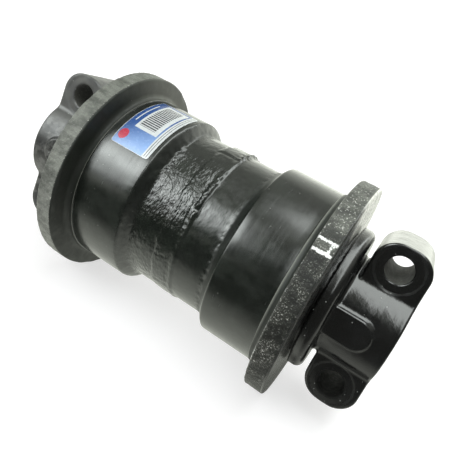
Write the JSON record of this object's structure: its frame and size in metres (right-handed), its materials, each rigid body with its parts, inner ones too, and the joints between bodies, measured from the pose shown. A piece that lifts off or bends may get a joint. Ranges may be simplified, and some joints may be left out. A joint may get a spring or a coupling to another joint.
{
  "type": "track roller",
  "caption": "Double-flange lubricated track roller for a crawler undercarriage: a welded shell turns on bushings about a fixed shaft with two pinned, bolt-on collars.",
  "frame": {"origin": "middle of the roller on the shaft axis, which is the centre of the object's box", "axes": "+X along the shaft axis, towards the end with the oil plug. +Y out of the collars' mounting faces, towards the track frame, so the bolt heads are on the -Y side. +Z from the lower ears to the upper ears. The part stands on its two flanges with +Z up. On a machine it is turned about X so that +Y points up."},
  "size_m": [0.352, 0.19, 0.19],
  "materials": {
    "shell_paint": "black satin paint over forged steel, worn on the flange rims",
    "collar_paint": "black gloss paint over cast steel",
    "shaft_steel": "ground and hardened",
    "bushing_bronze": "machined bronze",
    "seal_iron": "lapped hard iron",
    "seal_rubber": "smooth nitrile",
    "pin_steel": "ground",
    "plug_steel": "zinc plated",
    "washer_copper": "annealed copper",
    "label_film": "printed adhesive film"
  },
  "bodies": {
    "axle": {"shaft": "shaft_steel", "left_collar": "collar_paint", "right_collar": "collar_paint", "left_fixed_seal_ring": "seal_iron", "right_fixed_seal_ring": "seal_iron", "left_fixed_seal_rubber": "seal_rubber", "right_fixed_seal_rubber": "seal_rubber", "left_shaft_o_ring": "seal_rubber", "right_shaft_o_ring": "seal_rubber", "left_lock_pin": "pin_steel", "right_lock_pin": "pin_steel", "oil_plug": "plug_steel", "oil_plug_washer": "washer_copper"},
    "roller": {"roller_shell": "shell_paint", "left_bushing": "bushing_bronze", "right_bushing": "bushing_bronze", "label": "label_film", "left_turning_seal_ring": "seal_iron", "right_turning_seal_ring": "seal_iron", "left_turning_seal_rubber": "seal_rubber", "right_turning_seal_rubber": "seal_rubber"}
  },
  "joints": [
    {"name": "shell_spin", "type": "hinge", "parent": "axle", "child": "roller", "pos_m": [0, 0, 0], "axis": [1, 0, 0], "continuous": true}
  ]
}
